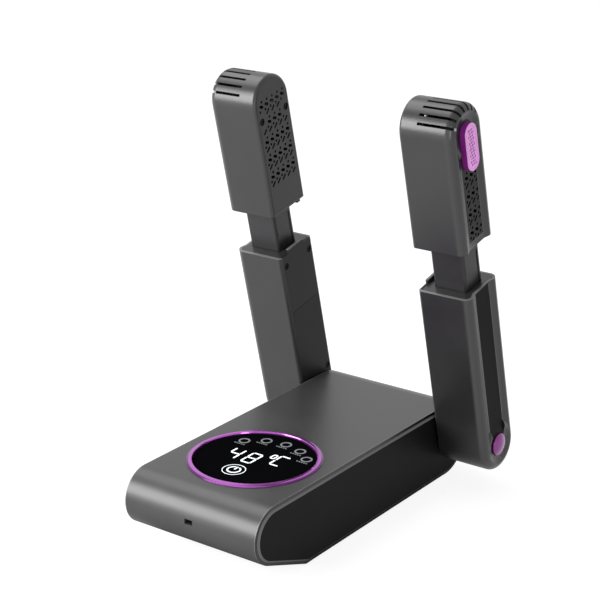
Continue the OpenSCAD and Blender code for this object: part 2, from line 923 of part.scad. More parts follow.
module head_shell() {
    color([0.36, 0.36, 0.37])
    difference() {
        union() {
            difference() {
                union() {
                    translate([0, 0, head_mid]) arm_end();
                    translate([0, 0, head_foot]) linear_extrude(head_straight) arm_section();
                }
                translate([0, 0, head_mid]) arm_end(wall);
                translate([0, 0, head_foot + wall]) linear_extrude(head_straight - wall)
                    arm_section(wall);
            }
            screw_posts(head_screw_s);
            translate([foot_tab_at[0], foot_tab_at[1], head_foot - foot_tab[2]])
                cube([foot_tab[0], foot_tab[1], foot_tab[2] + wall]);
        }
        along_x(-1, plate_t + eps) tongue(plate_r + fit_gap, head_foot + wall, head_mid, head_mid);
        along_x(floor_x - wall - 1, arm_t + 1)
            tongue(floor_r - panel_lip, head_foot + head_panel_end, head_mid, head_mid);
        translate([0, 0, head_foot - 1]) linear_extrude(wall + 2) tube_outline(fit_gap);
        for (i = [0 : slots - 1])
            translate([0, 0, head_mid]) rotate([-slot_first - i * slot_step, 0, 0])
                translate([slot_start, -slot_w / 2, slot_inner_r])
                    cube([arm_t, slot_w, arm_r - slot_inner_r + 1]);
    }
}

// Recessed outer grille of the head, with the opening for the oval outlet
module head_grille() {
    color([0.18, 0.18, 0.19])
    difference() {
        union() {
            along_x(floor_x - wall, floor_x)
                tongue(floor_r - panel_lip - fit_gap, head_foot + head_panel_end + fit_gap,
                    head_mid, head_mid);
            along_x(floor_x - wall - panel_flange_t, floor_x - wall)
                tongue(floor_r, head_foot + head_panel_end - panel_lip, head_mid, head_mid);
        }
        translate([0, 0, oval_s]) 
            oval(oval_w + 2 * fit_gap - 2 * oval_lip, oval_l + 2 * fit_gap - 2 * oval_lip, 0, arm_t);
        grille_holes(outer_cols, outer_rows, outer_top, outer_shift, [], floor_x - 8, floor_x + 1);
    }
}

// A stadium solid along X, long in Z
module oval(w, l, x0, x1) {
    along_x(x0, x1) {
        square([w, l - w], center = true);
        for (z = [-1, 1]) translate([0, z * (l - w) / 2]) circle(w / 2);
    }
}

module oval_ring() {
    color([0.66, 0.3, 0.74])
    translate([0, 0, oval_s])
        difference() {
            union() {
                oval(oval_w - 2 * oval_step, oval_l - 2 * oval_step, floor_x, floor_x + oval_h);
                oval(oval_w, oval_l, floor_x, floor_x + oval_h - oval_step);
                oval(oval_w - 2 * oval_lip, oval_l - 2 * oval_lip, floor_x - wall, floor_x + eps);
            }
            oval(oval_w - 2 * oval_border, oval_l - 2 * oval_border, floor_x - wall - 1, arm_t + oval_h);
        }
}

module oval_mesh() {
    color([0.84, 0.58, 0.9])
    translate([0, 0, oval_s])
        difference() {
            oval(2 * mesh_r, 2 * (mesh_r + mesh_straight),
                floor_x + oval_h - mesh_sunk - mesh_t, floor_x + oval_h - mesh_sunk);
            for (row = [0 : mesh_rows - 1], col = [0 : mesh_cols - 1]) {
                y = (col - (mesh_cols - 1) / 2 + (row % 2) / 2 - 0.25) * mesh_pitch_y;
                z = (row - (mesh_rows - 1) / 2) * mesh_pitch_s;
                if (norm([y, max(0, abs(z) - mesh_straight)]) < mesh_r - mesh_rim)
                    translate([floor_x, y, z]) rotate([-mesh_tilt, 0, 0])
                        translate([0, -mesh_hole_w / 2, -mesh_hole_l / 2])
                            cube([oval_h + 1, mesh_hole_w, mesh_hole_l]);
            }
        }
}

// Perforated inner cover of the head
module head_cover() {
    color([0.24, 0.24, 0.25])
    difference() {
        along_x(0, plate_t) tongue(plate_r, head_foot + wall + fit_gap, head_mid, head_mid);
        screw_holes(head_screw_s);
        grille_holes(inner_cols, inner_rows, inner_top, 0,
            [for (y = [-1, 1], s = head_screw_s) [y * screw_y, s]], -1, plate_t + 1);
    }
}

// Square fan frame, seated on the flange of the outer grille
module fan_frame() {
    color([0.1, 0.1, 0.11])
    translate([fan_x, 0, fan_s]) {
        difference() {
            translate([0, -fan_side / 2, -fan_side / 2]) cube([fan_t, fan_side, fan_side]);
            x_cylinder(fan_bore, -1, fan_t + 1);
        }
        x_cylinder(hub_r, 0, fan_web);
        x_cylinder(fan_pin_r, 0, fan_web + impeller_lift + impeller_t - hub_end_t - 0.4);
        for (a = [0, 120, 240])
            rotate([a, 0, 0]) translate([0, -1, hub_r - 0.5]) cube([fan_web, 2, fan_bore - hub_r + 1]);
    }
}

module fan_impeller() {
    color([0.16, 0.16, 0.17])
    translate([fan_x + fan_web + impeller_lift, 0, fan_s])
        difference() {
            union() {
                x_cylinder(hub_r, 0, impeller_t);
                for (i = [0 : blades - 1])
                    rotate([i * 360 / blades, 0, 0])
                        translate([impeller_t / 2, 0, hub_r - 0.6]) rotate([0, 0, blade_turn])
                            translate([-blade_w / 2, -blade_t / 2, 0])
                                cube([blade_w, blade_t, impeller_r - hub_r + 0.4]);
            }
            x_cylinder(fan_pin_r + shaft_gap, -1, impeller_t - hub_end_t);
        }
}

// Finned heating block, held between the side walls of the head
module heater() {
    color([0.72, 0.72, 0.7])
    translate([heater_x, -heater_d / 2, heater_s - heater_h / 2]) {
        for (y = [0, heater_d - heater_frame])
            translate([0, y, 0]) cube([heater_w, heater_frame, heater_h]);
        translate([(heater_w - heater_frame) / 2, 1, 0])
            cube([heater_frame, heater_d - 2, heater_h]);
        for (i = [0 : heater_fins - 1])
            translate([0, 1, i * (heater_h - fin_t) / (heater_fins - 1)])
                cube([heater_w, heater_d - 2, fin_t]);
    }
}

module head_screws() {
    color([0.08, 0.08, 0.08]) cover_screws(head_screw_s);
}

base_shell();
bottom_cover();
side(-1) side_cap();  // left_side_cap
side(1) side_cap();  // right_side_cap
rubber_feet();
base_screws();
display_ring();
display_glass();
temperature_digits();
function_icons();
power_symbol();
display_board();
main_board();
power_supply();
cord_grommet();
side(-1) hinge_block();  // left_hinge_block
side(1) hinge_block();  // right_hinge_block
arm(-1) hinge_shaft();  // left_hinge_shaft
arm(1) hinge_shaft();  // right_hinge_shaft
arm(-1) gap_washer();  // left_gap_washer
arm(1) gap_washer();  // right_gap_washer
arm(-1) friction_washer();  // left_friction_washer
arm(1) friction_washer();  // right_friction_washer
arm(-1) shaft_nut();  // left_shaft_nut
arm(1) shaft_nut();  // right_shaft_nut
arm(-1) casing_shell();  // left_casing_shell
arm(1) casing_shell();  // right_casing_shell
arm(-1) casing_panel();  // left_casing_panel
arm(1) casing_panel();  // right_casing_panel
arm(-1) hinge_cover();  // left_hinge_cover
arm(1) hinge_cover();  // right_hinge_cover
arm(-1) inner_cover();  // left_inner_cover
arm(1) inner_cover();  // right_inner_cover
arm(-1) hinge_cap();  // left_hinge_cap
arm(1) hinge_cap();  // right_hinge_cap
arm(-1) casing_collar();  // left_casing_collar
arm(1) casing_collar();  // right_casing_collar
arm(-1) casing_screws();  // left_casing_screws
arm(1) casing_screws();  // right_casing_screws
arm(-1) slide_tube();  // left_slide_tube
arm(1) slide_tube();  // right_slide_tube
arm(-1) head_shell();  // left_head_shell
arm(1) head_shell();  // right_head_shell
arm(-1) head_grille();  // left_head_grille
arm(1) head_grille();  // right_head_grille
arm(-1) head_cover();  // left_head_cover
arm(1) head_cover();  // right_head_cover
arm(-1) oval_ring();  // left_oval_ring
arm(1) oval_ring();  // right_oval_ring
arm(-1) oval_mesh();  // left_oval_mesh
arm(1) oval_mesh();  // right_oval_mesh
arm(-1) fan_frame();  // left_fan_frame
arm(1) fan_frame();  // right_fan_frame
arm(-1) fan_impeller();  // left_fan_impeller
arm(1) fan_impeller();  // right_fan_impeller
arm(-1) heater();  // left_heater
arm(1) heater();  // right_heater
arm(-1) head_screws();  // left_head_screws
arm(1) head_screws();  // right_head_screws
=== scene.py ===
import bpy
import json
import math
from mathutils import Matrix, Vector


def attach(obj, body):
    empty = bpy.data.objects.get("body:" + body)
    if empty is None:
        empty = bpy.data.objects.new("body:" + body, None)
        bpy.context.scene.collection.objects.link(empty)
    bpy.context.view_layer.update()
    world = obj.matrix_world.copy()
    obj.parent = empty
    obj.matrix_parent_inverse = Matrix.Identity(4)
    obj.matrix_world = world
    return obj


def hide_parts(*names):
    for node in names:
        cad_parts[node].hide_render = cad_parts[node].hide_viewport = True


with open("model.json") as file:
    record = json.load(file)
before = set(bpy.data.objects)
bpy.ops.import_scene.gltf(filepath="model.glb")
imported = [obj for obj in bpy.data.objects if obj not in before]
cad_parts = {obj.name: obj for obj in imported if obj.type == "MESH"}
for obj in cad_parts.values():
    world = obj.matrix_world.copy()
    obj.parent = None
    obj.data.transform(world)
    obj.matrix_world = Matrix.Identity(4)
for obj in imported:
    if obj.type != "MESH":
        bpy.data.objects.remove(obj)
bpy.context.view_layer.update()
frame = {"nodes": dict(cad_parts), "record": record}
nodes = frame["nodes"]
node_body = {n: b for b, members in frame["record"]["behaviour"]["bodies"].items() for n in members}
node_slot = {s["node"]: s["material_slot"] for s in frame["record"]["subparts"]}

MM = 0.001
SIDES = {"left": -1, "right": 1}

# The base: half its width and length, and where the display lies along it
BASE_HALF = (56 * MM, 127.5 * MM)
DISPLAY_Y = -57.1 * MM
SKIN_EDGE = 54.4 * MM
CAP_FACE = 55.8 * MM

# The arms: their forward lean at rest, their hinge (along and up), and places along them
LEAN = math.radians(13.4)
PIVOT = (99.8 * MM, 36.4 * MM)
SEAM = 82.7 * MM
CASING_TOP = 129.6 * MM
HEAD_FOOT = 163.2 * MM
HEAD_MID = 245.7 * MM

# Distances of the arms' faces from the middle plane
INNER_FACE = 58.6 * MM
TUBE_OUTER_FACE = 92.1 * MM
OUTER_FLOOR = 97.6 * MM
OVAL_FACE = 102.3 * MM

# Ends of the two rounded front edges of an arm
EDGE_FRONT = -14.0 * MM
OUTER_EDGE_START = 93.0 * MM
SMALL_EDGE_FRONT = -17.2 * MM
SMALL_EDGE_END = INNER_FACE + 2.6 * MM

# The face of a casing panel: how deep and how far down its top end is, and how it is moved
PANEL_FACE_BAND = 0.5 * MM
PANEL_TOP_BAND = 9.5 * MM
PANEL_STRETCH = 7.5 * MM
PANEL_PROUD = 0.06 * MM


# ---- camera, light and floor ----

WORLD_LIGHT = 0.38
FLOOR_SIZE = 12
FLOOR_COLOUR = (0.30, 0.30, 0.30, 1)
FLOOR_GLOW = 0.86
# Painted shadow in the floor's reflections: full this far inside the base's outline, gone this far
# outside it
FLOOR_PAINTED_SHADOW_INSIDE = 13 * MM
FLOOR_PAINTED_SHADOW_BEYOND = 45 * MM


def aim(at, target, roll=0.0):
    """Matrix of a camera or lamp at a place, looking at a target."""
    back = (Vector(at) - Vector(target)).normalized()
    right = Vector((0, 0, 1)).cross(back).normalized()
    up = back.cross(right)
    across = right * math.cos(roll) + up * math.sin(roll)
    upward = up * math.cos(roll) - right * math.sin(roll)
    turned = Matrix((across, upward, back)).transposed().to_4x4()
    return Matrix.Translation(Vector(at)) @ turned


def add_camera():
    azimuth, elevation = math.radians(36.54), math.radians(19.14)
    back = Vector((math.sin(azimuth) * math.cos(elevation),
                   -math.cos(azimuth) * math.cos(elevation), math.sin(elevation)))
    at = Vector((0.6550, -0.8888, 0.5369))
    camera = bpy.data.objects.new("camera", bpy.data.cameras.new("camera"))
    bpy.context.scene.collection.objects.link(camera)
    camera.data.sensor_width = 36
    camera.data.lens = 103.26
    camera.data.clip_start = 0.05
    camera.data.clip_end = 20
    camera.matrix_world = aim(at, at - back, math.radians(-0.34))
    bpy.context.scene.camera = camera


def add_lamp(name, at, target, size, power):
    lamp = bpy.data.objects.new(name, bpy.data.lights.new(name, "AREA"))
    lamp.data.shape = "RECTANGLE"
    lamp.data.size, lamp.data.size_y = size
    lamp.data.energy = power
    lamp.matrix_world = aim(at, target)
    bpy.context.scene.collection.objects.link(lamp)


def math_node(tree, operation, first, second=None):
    """Output of a new Math node, fed by sockets or plain numbers."""
    node = tree.nodes.new("ShaderNodeMath")
    node.operation = operation
    for socket, value in zip(node.inputs, (first, second)):
        if isinstance(value, (int, float)):
            socket.default_value = value
        elif value is not None:
            tree.links.new(value, socket)
    return node.outputs[0]


def seen_directly(tree):
    """1 for rays from the camera, and for those that a shiny or clear surface sends on."""
    rays = tree.nodes.new("ShaderNodeLightPath").outputs
    shiny = math_node(tree, "MAXIMUM", rays["Is Camera Ray"], rays["Is Glossy Ray"])
    return math_node(tree, "MAXIMUM", shiny, rays["Is Transmission Ray"])


def add_world():
    """White where it is seen, and dimmer as a light."""
    world = bpy.data.worlds.new("studio")
    bpy.context.scene.world = world
    world.use_nodes = True
    tree = world.node_tree
    background = tree.nodes["Background"]
    background.inputs["Color"].default_value = (1, 1, 1, 1)
    strength = tree.nodes.new("ShaderNodeMapRange")
    strength.inputs["To Min"].default_value = WORLD_LIGHT
    strength.inputs["To Max"].default_value = 1.0
    tree.links.new(seen_directly(tree), strength.inputs["Value"])
    tree.links.new(strength.outputs["Result"], background.inputs["Strength"])


def floor_outside_painted_shadow(tree):
    """Mask of a painted shadow in the floor: 0 under the base, rising to 1 where the floor is well clear
    of it.
    """
    place = tree.nodes.new("ShaderNodeTexCoord")
    split = tree.nodes.new("ShaderNodeSeparateXYZ")
    tree.links.new(place.outputs["Object"], split.inputs[0])
    beyond = [math_node(tree, "SUBTRACT", math_node(tree, "ABSOLUTE", split.outputs[axis]), half)
              for axis, half in zip("XY", BASE_HALF)]
    fade = tree.nodes.new("ShaderNodeMapRange")
    fade.inputs["From Min"].default_value = -FLOOR_PAINTED_SHADOW_INSIDE
    fade.inputs["From Max"].default_value = FLOOR_PAINTED_SHADOW_BEYOND
    tree.links.new(math_node(tree, "MAXIMUM", *beyond), fade.inputs["Value"])
    return fade.outputs["Result"]


def add_floor():
    """White to the camera. In reflections it dims under the base and close round it, a painted shadow.
    """
    bpy.ops.object.select_all(action="DESELECT")
    bpy.ops.mesh.primitive_plane_add(size=FLOOR_SIZE, location=(0, 0, 0))
    floor = bpy.context.active_object
    floor.name = "floor"
    material = bpy.data.materials.new("floor_white")
    material.use_nodes = True
    tree = material.node_tree
    shader = tree.nodes["Principled BSDF"]
    shader.inputs["Base Color"].default_value = FLOOR_COLOUR
    shader.inputs["Roughness"].default_value = 0.9
    shader.inputs["Specular IOR Level"].default_value = 0.1
    shader.inputs["Emission Color"].default_value = (1, 1, 1, 1)
    rays = tree.nodes.new("ShaderNodeLightPath").outputs
    # Camera rays see the full glow; other rays see it dimmed by the painted shadow
    lit = math_node(tree, "MAXIMUM", rays["Is Camera Ray"], floor_outside_painted_shadow(tree))
    seen = math_node(tree, "MULTIPLY", seen_directly(tree), lit)
    glow = math_node(tree, "MULTIPLY", seen, FLOOR_GLOW)
    tree.links.new(glow, shader.inputs["Emission Strength"])
    floor.data.materials.append(material)


# ---- materials ----

def new_group(name, inputs, outputs):
    group = bpy.data.node_groups.new(name, "ShaderNodeTree")
    for label, kind, value in inputs:
        socket = group.interface.new_socket(label, in_out="INPUT", socket_type=kind)
        socket.default_value = value
    for label, kind in outputs:
        group.interface.new_socket(label, in_out="OUTPUT", socket_type=kind)
    return group, group.nodes.new("NodeGroupInput"), group.nodes.new("NodeGroupOutput")


def make_mould_grain():
    """Fine spark texture of a mould, with cloudy handling marks: a height, a mask and a roughness."""
    group, given, out = new_group(
        "mould_grain",
        [("Grain Scale", "NodeSocketFloat", 2600.0), ("Cloud Scale", "NodeSocketFloat", 22.0),
         ("Roughness", "NodeSocketFloat", 0.45), ("Roughness Spread", "NodeSocketFloat", 0.08)],
        [("Height", "NodeSocketFloat"), ("Cloud", "NodeSocketFloat"), ("Roughness", "NodeSocketFloat")])
    link, new = group.links.new, group.nodes.new
    place = new("ShaderNodeTexCoord")
    grain = new("ShaderNodeTexNoise")
    grain.inputs["Detail"].default_value = 2
    grain.inputs["Roughness"].default_value = 0.6
    cloud = new("ShaderNodeTexNoise")
    cloud.inputs["Detail"].default_value = 5
    cloud.inputs["Distortion"].default_value = 0.6
    for texture, label in ((grain, "Grain Scale"), (cloud, "Cloud Scale")):
        link(place.outputs["Object"], texture.inputs["Vector"])
        link(given.outputs[label], texture.inputs["Scale"])
    centred = new("ShaderNodeMath")
    centred.operation = "SUBTRACT"
    centred.inputs[1].default_value = 0.5
    link(cloud.outputs["Fac"], centred.inputs[0])
    spread = new("ShaderNodeMath")
    spread.operation = "MULTIPLY_ADD"
    link(centred.outputs[0], spread.inputs[0])
    link(given.outputs["Roughness Spread"], spread.inputs[1])
    link(given.outputs["Roughness"], spread.inputs[2])
    link(grain.outputs["Fac"], out.inputs["Height"])
    link(cloud.outputs["Fac"], out.inputs["Cloud"])
    link(spread.outputs[0], out.inputs["Roughness"])
    return group


def make_place():
    """Where a point lies: out from the middle plane, in the arm's own frame, and on the base.

    Across is the distance from the middle plane. Depth and Along are the arm's front-to-back
    and lengthwise places, and Reach is the distance from the arm's middle line, measured round
    its two round ends. Radius is the distance from the upright axis of the display."""
    group, given, out = new_group(
        "place", [],
        [("Across", "NodeSocketFloat"), ("Depth", "NodeSocketFloat"), ("Along", "NodeSocketFloat"),
         ("Reach", "NodeSocketFloat"), ("Radius", "NodeSocketFloat")])
    group.nodes.remove(given)
    link, new = group.links.new, group.nodes.new

    def length_of(x, y):
        joined = new("ShaderNodeCombineXYZ")
        link(x, joined.inputs["X"])
        link(y, joined.inputs["Y"])
        length = new("ShaderNodeVectorMath")
        length.operation = "LENGTH"
        link(joined.outputs[0], length.inputs[0])
        return length.outputs["Value"]

    place = new("ShaderNodeTexCoord")
    split = new("ShaderNodeSeparateXYZ")
    link(place.outputs["Object"], split.inputs[0])
    link(math_node(group, "ABSOLUTE", split.outputs["X"]), out.inputs["Across"])
    turned = new("ShaderNodeMapping")
    turned.inputs["Rotation"].default_value = (-LEAN, 0, 0)
    turned.inputs["Location"].default_value = (
        0, -(PIVOT[0] * math.cos(LEAN) + PIVOT[1] * math.sin(LEAN)),
        PIVOT[0] * math.sin(LEAN) - PIVOT[1] * math.cos(LEAN))
    link(place.outputs["Object"], turned.inputs["Vector"])
    arm = new("ShaderNodeSeparateXYZ")
    link(turned.outputs[0], arm.inputs[0])
    link(arm.outputs["Y"], out.inputs["Depth"])
    link(arm.outputs["Z"], out.inputs["Along"])
    past_top = math_node(group, "MAXIMUM", math_node(group, "SUBTRACT", arm.outputs["Z"], HEAD_MID), 0.0)
    past_hinge = math_node(group, "MAXIMUM", math_node(group, "MULTIPLY", arm.outputs["Z"], -1.0), 0.0)
    past = math_node(group, "MAXIMUM", past_top, past_hinge)
    link(length_of(arm.outputs["Y"], past), out.inputs["Reach"])
    off_axis = math_node(group, "SUBTRACT", split.outputs["Y"], DISPLAY_Y)
    link(length_of(split.outputs["X"], off_axis), out.inputs["Radius"])
    return group


def make_within():
    """Mask of values between two limits, fading over a soft margin inside each limit."""
    group, given, out = new_group(
        "within",
        [("Value", "NodeSocketFloat", 0.0), ("Low", "NodeSocketFloat", 0.0),
         ("High", "NodeSocketFloat", 1.0), ("Soft", "NodeSocketFloat", 0.00001)],
        [("Mask", "NodeSocketFloat")])
    value, soft = given.outputs["Value"], given.outputs["Soft"]
    sides = []
    for upper, lower in ((value, given.outputs["Low"]), (given.outputs["High"], value)):
        part = math_node(group, "DIVIDE", math_node(group, "SUBTRACT", upper, lower), soft)
        part.node.use_clamp = True
        sides.append(part)
    group.links.new(math_node(group, "MULTIPLY", *sides), out.inputs["Mask"])
    return group


GRAIN = make_mould_grain()
PLACE = make_place()
WITHIN = make_within()


def paint_marks(tree, colour, marks):
    """Lays marks over a colour. A mark is ({place: (low, high, soft)}, its own colour)."""
    place = tree.nodes.new("ShaderNodeGroup")
    place.node_tree = PLACE
    for limits, mark_colour in marks:
        mask = None
        for name, (low, high, soft) in limits.items():
            part = tree.nodes.new("ShaderNodeGroup")
            part.node_tree = WITHIN
            tree.links.new(place.outputs[name], part.inputs["Value"])
            part.inputs["Low"].default_value = low
            part.inputs["High"].default_value = high
            part.inputs["Soft"].default_value = soft
            if mask is None:
                mask = part.outputs["Mask"]
            else:
                mask = math_node(tree, "MULTIPLY", mask, part.outputs["Mask"])
        blend = tree.nodes.new("ShaderNodeMix")
        blend.data_type = "RGBA"
        tree.links.new(mask, blend.inputs["Factor"])
        tree.links.new(colour, blend.inputs["A"])
        blend.inputs["B"].default_value = (*mark_colour, 1)
        colour = blend.outputs["Result"]
    return colour


def finish_material(name, colour, roughness, depth=0.02, spread=0.1, tint=0.12, metallic=0.0,
                    specular=0.5, coat=0.0, coat_roughness=0.2, glow=0.0, marks=()):
    """A moulded or machined finish: base colour, cloudy tint, roughness spread and fine grain."""
    material = bpy.data.materials.new(name)
    material.use_nodes = True
    tree = material.node_tree
    shader = tree.nodes["Principled BSDF"]
    effect = tree.nodes.new("ShaderNodeGroup")
    effect.node_tree = GRAIN
    effect.inputs["Roughness"].default_value = roughness
    effect.inputs["Roughness Spread"].default_value = spread
    ramp = tree.nodes.new("ShaderNodeValToRGB")
    low, high = ramp.color_ramp.elements
    low.position, high.position = 0.3, 0.7
    low.color = (*[c * (1 - tint) for c in colour], 1)
    high.color = (*[min(1.0, c * (1 + tint)) for c in colour], 1)
    tree.links.new(effect.outputs["Cloud"], ramp.inputs["Fac"])
    tinted = ramp.outputs["Color"]
    if marks:
        tinted = paint_marks(tree, tinted, marks)
    tree.links.new(tinted, shader.inputs["Base Color"])
    tree.links.new(effect.outputs["Roughness"], shader.inputs["Roughness"])
    bump = tree.nodes.new("ShaderNodeBump")
    bump.inputs["Strength"].default_value = 1.0
    bump.inputs["Distance"].default_value = depth * MM
    tree.links.new(effect.outputs["Height"], bump.inputs["Height"])
    tree.links.new(bump.outputs["Normal"], shader.inputs["Normal"])
    shader.inputs["Metallic"].default_value = metallic
    shader.inputs["Specular IOR Level"].default_value = specular
    shader.inputs["Coat Weight"].default_value = coat
    shader.inputs["Coat Roughness"].default_value = coat_roughness
    if glow:
        tree.links.new(tinted, shader.inputs["Emission Color"])
        shader.inputs["Emission Strength"].default_value = glow
    return material


FINISH = {
    "base_black": finish_material("base_black", (0.012, 0.012, 0.0125), 0.5, specular=0.15),
    "rubber": finish_material("soft_rubber", (0.006, 0.006, 0.006), 0.75, specular=0.15),
    "screw_black": finish_material("black_oxide_screw", (0.004, 0.004, 0.004), 0.4, specular=0.1),
    "display_black": finish_material("display_glass", (0.003, 0.003, 0.0035), 0.08, depth=0.0,
                                     spread=0.03, specular=0.0),
    "led_white": finish_material("lit_white", (0.80, 0.84, 0.88), 0.5, tint=0.02, glow=0.75,
                                 specular=0.0),
    "board_green": finish_material("solder_mask", (0.01, 0.07, 0.03), 0.35),
    "frame_grey": finish_material("bearing_grey", (0.08, 0.08, 0.085), 0.5),
    "steel": finish_material("turned_steel", (0.55, 0.55, 0.57), 0.3, metallic=1.0),
    "nylon_black": finish_material("nylon_black", (0.008, 0.008, 0.008), 0.5, specular=0.1),
    "brass": finish_material("friction_brass", (0.6, 0.42, 0.16), 0.35, metallic=1.0),
    "arm_grey": finish_material("arm_satin_grey", (0.024, 0.024, 0.025), 0.3),
    "panel_black": finish_material("panel_black", (0.011, 0.011, 0.0115), 0.5, specular=0.04),
    "fan_black": finish_material("fan_black", (0.006, 0.006, 0.006), 0.5, specular=0.1),
    "aluminium_fins": finish_material("heater_fins", (0.06, 0.06, 0.06), 0.6, metallic=1.0),
}

# Colours darker or brighter than the face beside them: painted shade in holes, wells and slots and on
# faces turned from the light, painted highlights on edges and rims, and dark joints at seams
CRISP = 0.01 * MM
FAR = 1.0
# Painted shade: near-black for the insides of holes, screw wells and slots
HOLE_PAINTED_SHADE = (0.0022, 0.0022, 0.0025)
# Dark joints at seams; on the base's end faces the same colour is painted shade
JOINT_DARK_AND_PAINTED_SHADE = (0.006, 0.006, 0.006)
# Painted highlight along the casing's top rim and the top of the inner cover's tab
RIM_PAINTED_HIGHLIGHT = (0.17, 0.17, 0.172)
# Painted highlight on the side caps' bevel
CAP_BEVEL_PAINTED_HIGHLIGHT = (0.23, 0.23, 0.232)
# Painted highlight: a bright line along the base shell's side edges
SHELL_EDGE_PAINTED_HIGHLIGHT = (0.2, 0.2, 0.202)
# Painted highlight on the arms' long rounded front edges
FRONT_EDGE_PAINTED_HIGHLIGHT = (0.044, 0.044, 0.045)
# Painted shade on the slide tube, darker towards its foot at the casing
TUBE_FOOT_PAINTED_SHADE = (0.012, 0.012, 0.013)
# Painted shade on the slide tube's outer face
TUBE_FACE_PAINTED_SHADE = (0.005, 0.005, 0.0055)
# Painted shade on the oval ring's wall
OVAL_WALL_PAINTED_SHADE = (0.20, 0.013, 0.20)
# Painted shade in the oval mesh's holes
MESH_HOLE_PAINTED_SHADE = (0.02, 0.002, 0.024)
# Painted shade on the display ring's outer slope
RING_SLOPE_PAINTED_SHADE = (0.10, 0.01, 0.12)

# Places that only the marks below need
SCREW_WELL_FLOOR = INNER_FACE + 0.25 * MM
COVER_HOLE_WALL = INNER_FACE + 0.12 * MM
SLOT_RANGE = (INNER_FACE + 2.8 * MM, INNER_FACE + 34.8 * MM)
SLOT_REACH = 19.2 * MM
CASING_RIM = CASING_TOP - 0.35 * MM
TAB_RIM = CASING_TOP + 2.5 * MM
TUBE_SHADE = CASING_TOP + 13 * MM
TUBE_SLIT_ALONG = (CASING_TOP + 12 * MM, CASING_TOP + 18 * MM)
TUBE_SLIT_DEPTH = (-9.2 * MM, -8.0 * MM)
RING_CREST_END = 44.7 * MM

# The long front edges of both arms carry a painted highlight, lighter than the shells
PAINTED_HIGHLIGHT_FRONT_EDGES = [
    ({"Depth": (-FAR, EDGE_FRONT, 2 * MM), "Across": (OUTER_EDGE_START, FAR, 2 * MM)},
     FRONT_EDGE_PAINTED_HIGHLIGHT),
    ({"Depth": (-FAR, SMALL_EDGE_FRONT, 1 * MM), "Across": (0, SMALL_EDGE_END, 1 * MM)},
     FRONT_EDGE_PAINTED_HIGHLIGHT)]
